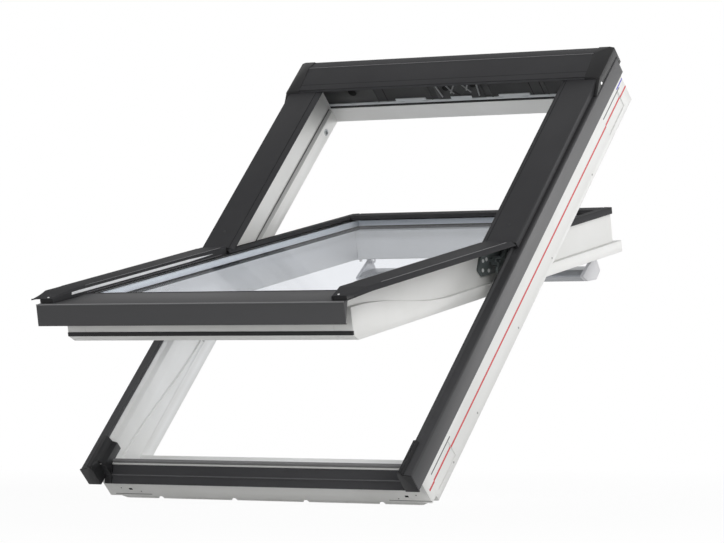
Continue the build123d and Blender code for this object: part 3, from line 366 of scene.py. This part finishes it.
# Plugs and corner caps
# Black moulded caps close the lower ends of the cladding, and round plugs cover the screws of the covers.
# The mould leaves a fine grain on the caps; the plugs are coated like the sheet.
corner_cap_edge = 0.0008
plug_edge = 0.0002
cap_grain_scale = 1500.0
cap_grain_height = 0.00008
grained_black = plain_finish("grained_black_moulding", (0.02, 0.02, 0.021), roughness=0.5, specular=0.2)
add_grain(grained_black, cap_grain_scale, cap_grain_height)
for cap in ("left_corner_cap", "right_corner_cap"):
    eased(cap, corner_cap_edge, grained_black)
eased("cover_plugs", plug_edge, coat)

# Hood
# A folded sheet over the head of the frame, with a moulded end cap on each side.
# A plated screw holds each end. Two creases are pressed in its face, each lined with a dark bar of painted
# shade, and a pale bar along its upper fold is a painted highlight.
hood_half = 0.3545
hood_painted_lines = ((1.0994, 0.0229, crease), (1.1148, 0.0243, crease), (1.1648, 0.0299, fold_painted_highlight))
hood_cap_edge = 0.001
screw_edge = 0.0006
plated = plain_finish("bright_plated_steel", (0.5, 0.5, 0.49), roughness=0.32, metallic=1.0)
eased("hood", fold_edge, coat)
for number, (y, z, finish) in enumerate(hood_painted_lines):
    bar_across(f"hood_painted_line_{number}", on_frame, hood_half, y, z, crease_radius, finish, "hood")
for cap in ("left_hood_cap", "right_hood_cap"):
    eased(cap, hood_cap_edge, grained_black)
eased("hood_screws", screw_edge, plated)

# Fittings under the hood
# A dark moulded panel holds the air filter, with the striker of the lock in its middle. Pale grey bars on
# the striker are painted highlights of its glossy curves, and dark discs on it are painted shade. The flap
# of the sash is moulded alike. A light strip is clipped on below, and a light bush sits in the left stile.
moulding_grain_scale = 1300.0
dark_grain_height = 0.00006
light_grain_height = 0.00004
fitting_edge = 0.0004
clip_edge = 0.0005
striker_face = 1.1521
striker_highlight_bars = (
    ((-0.054, -0.012), (-0.046, -0.06)),
    ((-0.034, -0.012), (-0.014, -0.052)),
    ((0.006, -0.012), (-0.022, -0.05)),
    ((0.004, -0.014), (0.03, -0.05)),
    ((0.036, -0.012), (0.02, -0.044)),
    ((0.053, -0.012), (0.046, -0.06)),
)
striker_highlight_radius = 0.0016
striker_shade_discs = ((-0.03, -0.036), (0.04, -0.03))
striker_shade_radius = 0.007
bore_sides = 32
panel_face = 1.155
tab_height = 0.002
clip_tabs_x = ((-0.168, -0.092), (0.092, 0.168))
clip_tab_z = (-0.0685, -0.061)
keeper_x = (-0.026, 0.026)
keeper_y = (1.151, 1.1515)
keeper_z = (-0.068, -0.0592)
panel_seams_x = (-0.19, 0.176, 0.202)
seam_half_width = 0.0008
panel_seam_z = (-0.068, -0.006)
panel_marks_x = (-0.269, 0.269)
panel_mark_face = 1.1535
panel_mark_z = -0.037
panel_mark_radius = 0.0095
dark_plastic = plain_finish("dark_moulding", (0.036, 0.036, 0.036), roughness=0.5, specular=0.25)
add_grain(dark_plastic, moulding_grain_scale, dark_grain_height)
light_plastic = plain_finish("light_grey_moulding", (0.5, 0.52, 0.53), roughness=0.45, specular=0.4)
add_grain(light_plastic, moulding_grain_scale, light_grain_height)
striker_painted_highlight = plain_finish("striker_highlight_grey", (0.24, 0.245, 0.245), roughness=0.3, metallic=0.4)
for fitting in ("vent_filter_panel", "vent_flap", "striker"):
    eased(fitting, fitting_edge, dark_plastic)
# Pale grey bars laid on the striker are painted highlights; the dark discs on it are painted shade.
for number, ends in enumerate(striker_highlight_bars):
    start, end = [on_frame(x, striker_face, z) for x, z in ends]
    round_bar(f"striker_highlight_{number}", start, end, striker_highlight_radius, striker_painted_highlight, "striker")
for number, (x, z) in enumerate(striker_shade_discs):
    face_disc(f"striker_shade_disc_{number}", x, striker_face, z, striker_shade_radius, hole_shade_and_seam_black, "striker", bore_sides)
for fitting in ("clip_strip", "bolt_bush"):
    eased(fitting, clip_edge, light_plastic)
tab_faces = (panel_face - tab_height, panel_face)
for number, tab_x in enumerate(clip_tabs_x):
    laid_block(f"clip_tab_{number}", on_frame, tab_x, tab_faces, clip_tab_z, light_plastic, "clip_strip")
laid_block("keeper_plate", on_frame, keeper_x, keeper_y, keeper_z, light_plastic, "striker")
seam_faces = (panel_face - ink, panel_face)
for number, x in enumerate(panel_seams_x):
    seam_x = (x - seam_half_width, x + seam_half_width)
    name = f"panel_seam_{number}"
    laid_block(name, on_frame, seam_x, seam_faces, panel_seam_z, hole_shade_and_seam_black, "vent_filter_panel")
for number, x in enumerate(panel_marks_x):
    name = f"panel_mark_{number}"
    spot = (x, panel_mark_face, panel_mark_z)
    face_disc(name, *spot, panel_mark_radius, hole_shade_and_seam_black, "vent_filter_panel", bore_sides)

# Pivot hinges
# A curved steel tongue on the sash runs in a curved track on the frame, and brake pads hold it anywhere.
# Both halves are pressed from dark zinc-coated steel and held by bright zinc screws.
hinge_edge = 0.0005
wear_scale = 300.0
worn_roughness = 0.32
dull_roughness = 0.5


def add_wear(finish, scale, smooth, rough):
    """Gloss that drifts a little between two roughnesses."""
    nodes, links = finish.node_tree.nodes, finish.node_tree.links
    span = nodes.new("ShaderNodeMapRange")
    span.inputs["To Min"].default_value = smooth
    span.inputs["To Max"].default_value = rough
    links.new(noise_of(finish, scale), span.inputs["Value"])
    links.new(span.outputs["Result"], nodes["Principled BSDF"].inputs["Roughness"])


hinge_steel = plain_finish("dark_zinc_steel", (0.13, 0.15, 0.15), roughness=0.4, metallic=0.3)
add_wear(hinge_steel, wear_scale, worn_roughness, dull_roughness)
bright_zinc = plain_finish("bright_zinc", (0.85, 0.86, 0.86), roughness=0.35, metallic=0.3)
for half in ("left_hinge_guide", "right_hinge_guide", "left_hinge_tongue", "right_hinge_tongue"):
    eased(half, hinge_edge, hinge_steel)
for fastener in ("hinge_guide_screws", "hinge_tongue_screws"):
    eased(fastener, screw_edge, bright_zinc)

# Sash members
# The sash is moulded like the frame, in the same white skin, with a rebate for the glass and a flange that
# shuts against the frame. Black rubber strips bed and seal the glass and close the foot.
strip_edge = 0.0002
for member in ("sash_top_rail", "sash_bottom_rail", "sash_left_stile", "sash_right_stile"):
    eased(member, member_edge, white_skin)
for strip in ("sash_bottom_seal", "glazing_bed", "glazing_seal", "pane_edge_seal"):
    eased(strip, strip_edge, rubber)

# Glazing
# Two float glass panes, held apart by a pale metal spacer and sealed round the edge. The glass is faintly
# blue and lets lamp light through. It reflects weakly, so that the spacer shows in a view along the pane.
glass_tint = (0.91, 0.92, 0.94, 1.0)
glass_index = 1.01
spacer_edge = 0.0003
glass = bpy.data.materials.new("clear_float_glass")
glass.use_nodes = True
glass_tree = glass.node_tree
clear = glass_tree.nodes["Principled BSDF"]
clear.inputs["Base Color"].default_value = glass_tint
clear.inputs["Roughness"].default_value = 0.0
clear.inputs["IOR"].default_value = glass_index
clear.inputs["Transmission Weight"].default_value = 1.0
lamp_path = glass_tree.nodes.new("ShaderNodeLightPath")
lamp_through = glass_tree.nodes.new("ShaderNodeBsdfTransparent")
lamp_through.inputs["Color"].default_value = glass_tint
glass_mix = glass_tree.nodes.new("ShaderNodeMixShader")
glass_tree.links.new(lamp_path.outputs["Is Shadow Ray"], glass_mix.inputs["Fac"])
glass_tree.links.new(clear.outputs["BSDF"], glass_mix.inputs[1])
glass_tree.links.new(lamp_through.outputs["BSDF"], glass_mix.inputs[2])
glass_tree.links.new(glass_mix.outputs["Shader"], glass_tree.nodes["Material Output"].inputs["Surface"])
for pane in ("outer_pane", "inner_pane"):
    frame["nodes"][pane].data.materials.clear()
    frame["nodes"][pane].data.materials.append(glass)
spacer_metal = plain_finish("pale_spacer_metal", (0.72, 0.76, 0.8), roughness=0.35, metallic=0.2)
eased("pane_spacer", spacer_edge, spacer_metal)

# Cladding of the sash
# Coated sheet covers that go out with the sash: one over its foot, a wing along each lower stile and narrow
# trims round the upper glass. They are folded like the frame's cladding and clipped to the sash.
sash_slope = radians(10.4)
sash_up = Vector((0.0, cos(sash_slope), sin(sash_slope)))
sash_out = Vector((0.0, -sin(sash_slope), cos(sash_slope)))
joints = {joint["name"]: joint for joint in frame["record"]["behaviour"]["joints"]}
pivot = Vector(joints["sash_pivot"]["pos_m"])
pivot_y = 0.618
pivot_z = 0.022
front_cover_painted_light_grey = (0.088, 0.088, 0.091)
bead_half = 0.3575
bead_y = 0.0026
bead_z = -0.0005
bead_radius = 0.0012
gasket_x = (-0.3125, 0.3125)
gasket_y = (0.1085, 0.1125)
gasket_z = (0.0026, 0.0046)


def on_sash(x, y, z):
    """World place of a sash point, measured as on the frame with the sash shut."""
    return pivot + Vector((x, 0.0, 0.0)) + sash_up * (y - pivot_y) + sash_out * (z - pivot_z)


wing_coat = plain_finish("wing_coat", anthracite, roughness=0.6, specular=0.02)
add_tone(wing_coat, anthracite_dark, anthracite, coat_tone_scale)
# The front cover is a paler grey than the other sheets of the same coat: painted light on its face.
front_coat_with_painted_light = plain_finish("front_coat_with_painted_light", front_cover_painted_light_grey, roughness=0.5, specular=0.06)
for finish in (wing_coat, front_coat_with_painted_light):
    add_grain(finish, coat_grain_scale, coat_grain_height)
for sheet in ("left_wing_cover", "right_wing_cover", "sash_left_trim", "sash_right_trim", "sash_top_trim"):
    eased(sheet, fold_edge, wing_coat)
eased("sash_front_cover", fold_edge, front_coat_with_painted_light)
# A pale bar along the front cover's top front edge is a painted highlight.
bar_across(
    "front_cover_edge_highlight", on_sash, bead_half, bead_y, bead_z, bead_radius, fold_painted_highlight, "sash_front_cover"
)
laid_block("front_cover_gasket", on_sash, gasket_x, gasket_y, gasket_z, rubber, "sash_front_cover")

# Trim of the wings
# A bright strip, pointed towards the pivot, lies on the inner wall of each wing: a painted reflection on
# that glossy wall. A black block fills the wing's foot, behind a rolled lip and a small screw, and pale bars
# along the long folds are painted highlights.
wing_wall = 0.313
strip_thickness = 0.0002
strip_y = (0.062, 0.47)
strip_z = (0.0092, 0.0145)
strip_point_y = 0.56
strip_point_z = 0.0118
nose_x = 0.357
nose_foot_x = 0.3262
nose_head_x = 0.3156
nose_foot_y = 0.0155
nose_head_y = 0.058
nose_foot_z = (0.0011, 0.0078)
nose_outer_z = (0.0027, 0.0168)
nose_inner_z = (0.0027, 0.0152)
lip_outer = (0.377, 0.0142, 0.0089)
lip_bend = (0.366, 0.0142, 0.0094)
lip_inner = (0.327, 0.0142, 0.0094)
lip_radius = 0.0008
wing_screw = (0.338, 0.0185, 0.0104)
wing_screw_rise = 0.0012
wing_screw_lean = 0.0004
wing_screw_radius = 0.0022
wing_folds_y = (0.112, 0.59)
wing_fold_highlights = ((0.3155, 0.02005, 0.0005), (0.3745, 0.0189, 0.0006), (0.313, 0.0052, 0.0005))


def on_wing(side, x, y, z):
    """World place of a point of one wing; x is measured outwards from the middle of the window."""
    return on_sash(side * x, y, z)


# The near-white film on each wing's inner wall is a painted reflection; the same white colours the wing
# screws.
painted_reflection_and_screw_white = plain_finish("painted_reflection_and_screw_white", (0.93, 0.935, 0.94), roughness=0.25, specular=0.5)
strip_faces = (wing_wall, wing_wall - strip_thickness)
for side, hand in both_sides:
    wing = f"{hand}_wing_cover"
    strip = [on_wing(side, x, y, z) for x in strip_faces for y in strip_y for z in strip_z]
    strip += [on_wing(side, x, strip_point_y, strip_point_z) for x in strip_faces]
    hull_piece(wing + "_strip", strip, painted_reflection_and_screw_white, wing)
    nose = [on_wing(side, x, nose_foot_y, z) for x in (nose_x, nose_foot_x) for z in nose_foot_z]
    nose += [on_wing(side, nose_x, nose_head_y, z) for z in nose_outer_z]
    nose += [on_wing(side, nose_head_x, nose_head_y, z) for z in nose_inner_z]
    hull_piece(wing + "_nose_block", nose, grained_black, wing)
    outer, bend, inner = [on_wing(side, *spot) for spot in (lip_outer, lip_bend, lip_inner)]
    round_bar(wing + "_lip_outer", outer, bend, lip_radius, coat, wing)
    round_bar(wing + "_lip_inner", bend, inner, lip_radius, coat, wing)
    screw = on_wing(side, *wing_screw)
    screw_head = screw + sash_out * wing_screw_rise - sash_up * wing_screw_lean
    round_bar(wing + "_screw", screw, screw_head, wing_screw_radius, painted_reflection_and_screw_white, wing)
    for number, (x, z, radius) in enumerate(wing_fold_highlights):
        bar_along(f"{wing}_fold_highlight_{number}", on_sash, side * x, wing_folds_y, z, radius, fold_painted_highlight, wing)

# Control bar and locks
# A drawn aluminium bar with moulded ends swings on two pins under the head of the sash. It works the flap
# and the spring lock; the small plated barrel bolt beside it holds the sash for airing or cleaning.
bar_edge = 0.0006
bar_fitting_edge = 0.0008
bolt_edge = 0.0005
bar_grain_scale = 800.0
bar_grain_height = 0.00003
bar_drawing = (0.05, 1.0, 1.0)
bar_metal = plain_finish("anodised_aluminium", (0.35, 0.36, 0.375), roughness=0.36, metallic=0.55)
add_grain(bar_metal, bar_grain_scale, bar_grain_height, bar_drawing)
bar_end_plastic = plain_finish("pale_bar_end", (0.62, 0.62, 0.64), roughness=0.42, specular=0.4)
add_grain(bar_end_plastic, moulding_grain_scale, light_grain_height)
eased("control_bar", bar_edge, bar_metal)
for fitting in ("left_bar_arm", "right_bar_arm", "bar_lugs", "bolt_housing"):
    eased(fitting, bar_fitting_edge, bar_end_plastic)
for fitting in ("bar_pins", "lock_bolt", "barrel_bolt"):
    eased(fitting, bolt_edge, plated)

# Studio
# A pale floor under the lowest edge, a white surround that gives less light from straight above, and three
# soft lamps. The camera, gloss and glass see both as white, and the floor keeps a little of the shadow.
white_light = (1.0, 1.0, 1.0, 1.0)
white_level = 1.0
surround_light = 0.54
overhead_light = 0.28
low_sky = 0.1
high_sky = 0.9
floor_half = 12.0
floor_drop = 0.002
shadow_reach = (0.9, 2.2)
shadow_whiteness = 0.955
world = bpy.data.worlds.new("studio")
bpy.context.scene.world = world
world.use_nodes = True
sky = world.node_tree
sky_light = sky.nodes["Background"]
sky_light.inputs["Color"].default_value = white_light
sky_place = sky.nodes.new("ShaderNodeTexCoord")
sky_parts = sky.nodes.new("ShaderNodeSeparateXYZ")
sky_fade = sky.nodes.new("ShaderNodeMapRange")
sky_fade.inputs["From Min"].default_value = low_sky
sky_fade.inputs["From Max"].default_value = high_sky
sky_fade.inputs["To Min"].default_value = surround_light
sky_fade.inputs["To Max"].default_value = overhead_light
sky.links.new(sky_place.outputs["Generated"], sky_parts.inputs["Vector"])
sky.links.new(sky_parts.outputs["Z"], sky_fade.inputs["Value"])
sky.links.new(sky_fade.outputs["Result"], sky_light.inputs["Strength"])
sky_seen = sky.nodes.new("ShaderNodeBackground")
sky_seen.inputs["Color"].default_value = white_light
sky_seen.inputs["Strength"].default_value = white_level


def seen_share(tree):
    """1 for rays that show the surround: from the camera, off gloss or through glass."""
    path = tree.nodes.new("ShaderNodeLightPath")
    gloss = tree.nodes.new("ShaderNodeMath")
    gloss.operation = "MAXIMUM"
    through = tree.nodes.new("ShaderNodeMath")
    through.operation = "MAXIMUM"
    tree.links.new(path.outputs["Is Camera Ray"], gloss.inputs[0])
    tree.links.new(path.outputs["Is Glossy Ray"], gloss.inputs[1])
    tree.links.new(gloss.outputs["Value"], through.inputs[0])
    tree.links.new(path.outputs["Is Transmission Ray"], through.inputs[1])
    return through.outputs["Value"]


sky_mix = sky.nodes.new("ShaderNodeMixShader")
sky.links.new(seen_share(sky), sky_mix.inputs["Fac"])
sky.links.new(sky_light.outputs["Background"], sky_mix.inputs[1])
sky.links.new(sky_seen.outputs["Background"], sky_mix.inputs[2])
sky.links.new(sky_mix.outputs["Shader"], sky.nodes["World Output"].inputs["Surface"])

floor_level = cad_box[0].z - floor_drop
floor_turn = ((-1.0, -1.0), (1.0, -1.0), (1.0, 1.0), (-1.0, 1.0))
floor_corners = [(x * floor_half, y * floor_half, floor_level) for x, y in floor_turn]
floor_mesh = bpy.data.meshes.new("floor")
floor_mesh.from_pydata(floor_corners, [], [(0, 1, 2, 3)])
floor = bpy.data.objects.new("floor", floor_mesh)
bpy.context.scene.collection.objects.link(floor)
floor_paint = plain_finish("pale_floor", (0.9, 0.9, 0.9), roughness=0.9, specular=0.0)
floor_tree = floor_paint.node_tree
floor_glow = floor_tree.nodes.new("ShaderNodeEmission")
floor_glow.inputs["Strength"].default_value = white_level
floor_share = floor_tree.nodes.new("ShaderNodeMath")
floor_share.operation = "MULTIPLY"
floor_place = floor_tree.nodes.new("ShaderNodeTexCoord")
floor_reach = floor_tree.nodes.new("ShaderNodeVectorMath")
floor_reach.operation = "LENGTH"
floor_fade = floor_tree.nodes.new("ShaderNodeMapRange")
floor_fade.inputs["From Min"].default_value = shadow_reach[0]
floor_fade.inputs["From Max"].default_value = shadow_reach[1]
floor_fade.inputs["To Min"].default_value = shadow_whiteness
floor_fade.inputs["To Max"].default_value = white_level
floor_tree.links.new(floor_place.outputs["Object"], floor_reach.inputs[0])
floor_tree.links.new(floor_reach.outputs["Value"], floor_fade.inputs["Value"])
floor_tree.links.new(floor_fade.outputs["Result"], floor_share.inputs[1])
floor_mix = floor_tree.nodes.new("ShaderNodeMixShader")
floor_tree.links.new(seen_share(floor_tree), floor_share.inputs[0])
floor_tree.links.new(floor_share.outputs["Value"], floor_mix.inputs["Fac"])
floor_tree.links.new(floor_tree.nodes["Principled BSDF"].outputs["BSDF"], floor_mix.inputs[1])
floor_tree.links.new(floor_glow.outputs["Emission"], floor_mix.inputs[2])
floor_tree.links.new(floor_mix.outputs["Shader"], floor_tree.nodes["Material Output"].inputs["Surface"])
floor_mesh.materials.append(floor_paint)

middle = (cad_box[0] + cad_box[1]) / 2


def soft_lamp(name, place, width, watts):
    """Square area lamp that faces the middle of the window and doesn't show through the glass."""
    light = bpy.data.lights.new(name, "AREA")
    light.size = width
    light.energy = watts
    lamp = bpy.data.objects.new(name, light)
    lamp.location = place
    lamp.visible_transmission = False
    lamp.rotation_euler = (middle - Vector(place)).to_track_quat("-Z", "Y").to_euler()
    bpy.context.scene.collection.objects.link(lamp)


soft_lamp("right_lamp", place=(4.0, -1.0, 2.6), width=3.0, watts=55.0)
soft_lamp("front_lamp", place=(1.0, -5.5, 0.3), width=2.0, watts=80.0)
soft_lamp("rear_lamp", place=(3.2, 5.4, 0.9), width=3.0, watts=115.0)

# Camera
# It stands far off to the right, a little below the middle of the window, and looks slightly upwards.
# The long lens sees the window nearly flat.
camera_place = (3.8729, -5.7681, 0.2645)
camera_turn = 32.26
camera_tilt = 1.38
level = 90.0
lens = 175.3
sensor_width = 36.0
far_end = 100.0
view = bpy.data.cameras.new("camera")
view.lens = lens
view.sensor_width = sensor_width
view.clip_end = far_end
camera = bpy.data.objects.new("camera", view)
camera.location = camera_place
camera.rotation_euler = (radians(level + camera_tilt), 0.0, radians(camera_turn))
bpy.context.scene.collection.objects.link(camera)
bpy.context.scene.camera = camera
bpy.context.scene.view_settings.view_transform = "Standard"
